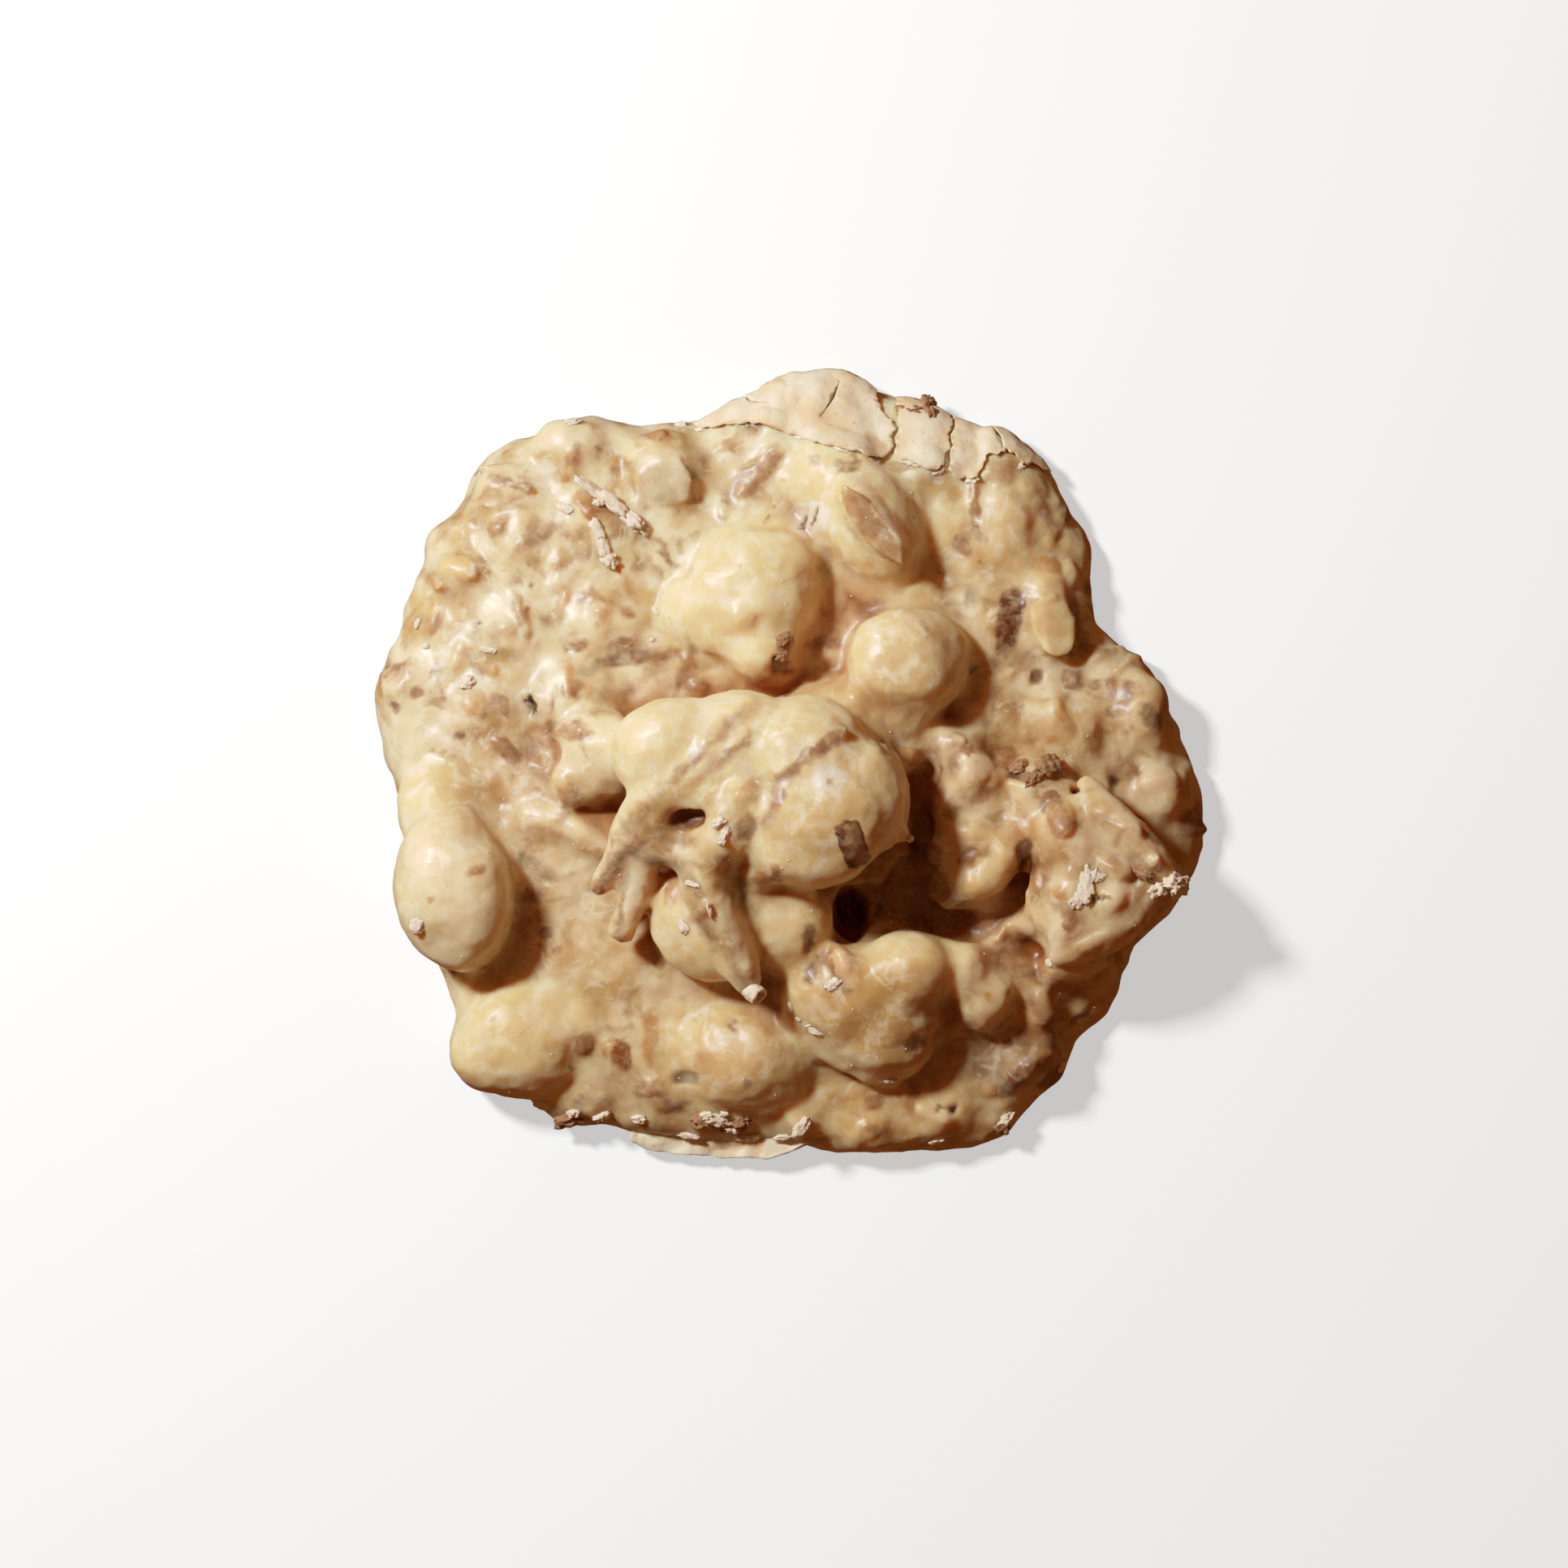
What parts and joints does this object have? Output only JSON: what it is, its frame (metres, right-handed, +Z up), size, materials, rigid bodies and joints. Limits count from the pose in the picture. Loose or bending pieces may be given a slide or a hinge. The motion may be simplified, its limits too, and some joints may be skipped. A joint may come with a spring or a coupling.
{
  "type": "macadamia praline",
  "caption": "Uneven patty of caramel-coloured coating with coated whole nuts piled on it, toasted strands, crumbs and a dry crust along one rim, on a flat base.",
  "frame": {"origin": "middle of the flat base, level with the surface that the praline rests on", "axes": "+Z up, away from the base; +X to the right and +Y to the top of the piece as seen from above"},
  "size_m": [0.0898, 0.086, 0.0228],
  "materials": {
    "coat": "satin caramel and white chocolate coating, slightly translucent, with toasted bits showing through",
    "toasted": "rough toasted strands and crumbs",
    "dry_crumb": "dry matt flakes and crumbs of broken coating"
  },
  "bodies": {
    "root": {"praline": "coat"}
  },
  "joints": []
}
